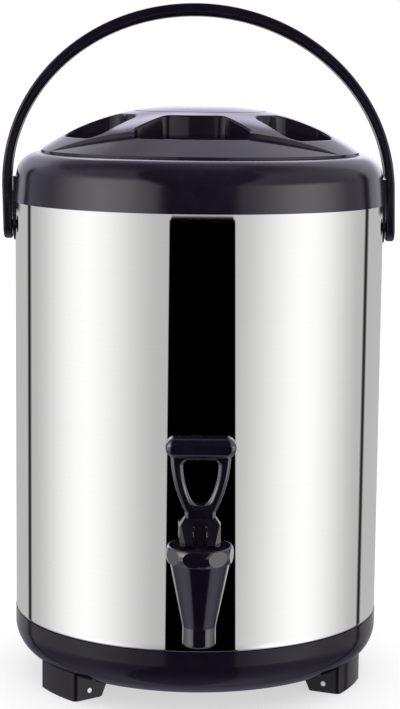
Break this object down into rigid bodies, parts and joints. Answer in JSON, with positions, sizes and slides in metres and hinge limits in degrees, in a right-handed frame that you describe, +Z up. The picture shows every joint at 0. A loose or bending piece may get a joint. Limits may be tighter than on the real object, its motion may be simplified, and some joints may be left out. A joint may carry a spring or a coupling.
{
  "type": "insulated beverage dispenser",
  "caption": "Upright insulated drink dispenser: mirror-steel barrel round a foam-backed pot, plug lid with finger pockets, swinging bail handle and loop-lever tap on a footed base.",
  "frame": {"origin": "middle of the bounding box on the floor, under the barrel and a little in front of its axis", "axes": "+Z up along the barrel, -Y towards the tap, +X to the right of someone facing the tap"},
  "size_m": [0.2768, 0.3179, 0.4785],
  "materials": {
    "mirror_steel": "polished",
    "pot_steel": "satin",
    "pin_steel": "satin",
    "aubergine_plastic": "gloss",
    "tap_plastic": "gloss",
    "silicone": "matte",
    "foam": "matte"
  },
  "bodies": {
    "barrel": {"outer_shell": "mirror_steel", "inner_pot": "pot_steel", "foam_floor": "foam", "foam_jacket": "foam", "base_tray": "aubergine_plastic", "foot_back": "aubergine_plastic", "foot_left": "aubergine_plastic", "foot_right": "aubergine_plastic", "foot_pins": "pin_steel", "shoulder_ring": "aubergine_plastic", "pivot_pin_left": "aubergine_plastic", "pivot_pin_right": "aubergine_plastic", "tap_body": "tap_plastic", "tap_bonnet": "tap_plastic", "stem_seal": "silicone", "tap_spring": "pin_steel", "outer_washer": "silicone", "shank_sleeve": "tap_plastic", "inner_washer": "silicone", "lock_nut": "tap_plastic"},
    "bail": {"bail_handle": "aubergine_plastic"},
    "lid_seal": {"lid_gasket": "silicone"},
    "lid": {"lid_cover": "aubergine_plastic", "lid_liner": "aubergine_plastic", "lid_foam": "foam"},
    "stem": {"tap_stem": "tap_plastic", "seat_cup": "silicone", "lever_pin": "pin_steel"},
    "lever": {"tap_lever": "tap_plastic"}
  },
  "joints": [
    {"name": "bail_swing", "type": "hinge", "parent": "barrel", "child": "bail", "pos_m": [0, 0.028, 0.323], "axis": [1, 0, 0], "range_deg": [-112, 112]},
    {"name": "lid_lift", "type": "slide", "parent": "barrel", "child": "lid_seal", "axis": [0, 0, 1], "range_m": [0, 0.027]},
    {"name": "lid_twist", "type": "hinge", "parent": "lid_seal", "child": "lid", "pos_m": [0, 0.028, 0.3685], "axis": [0, 0, 1], "range_deg": [0, 30]},
    {"name": "stem_lift", "type": "slide", "parent": "barrel", "child": "stem", "axis": [0, 0, 1], "range_m": [0, 0.004], "deforming": ["tap_spring"]},
    {"name": "lever_tilt", "type": "hinge", "parent": "stem", "child": "lever", "pos_m": [0, -0.137, 0.1412], "axis": [1, 0, 0], "range_deg": [0, 35], "stiffness_Nm_per_rad": 0.0254, "springref_deg": -88.24}
  ],
  "couplings": [
    {"joint": "stem_lift", "follows": "lever_tilt", "m_per_rad": 0.0065}
  ]
}
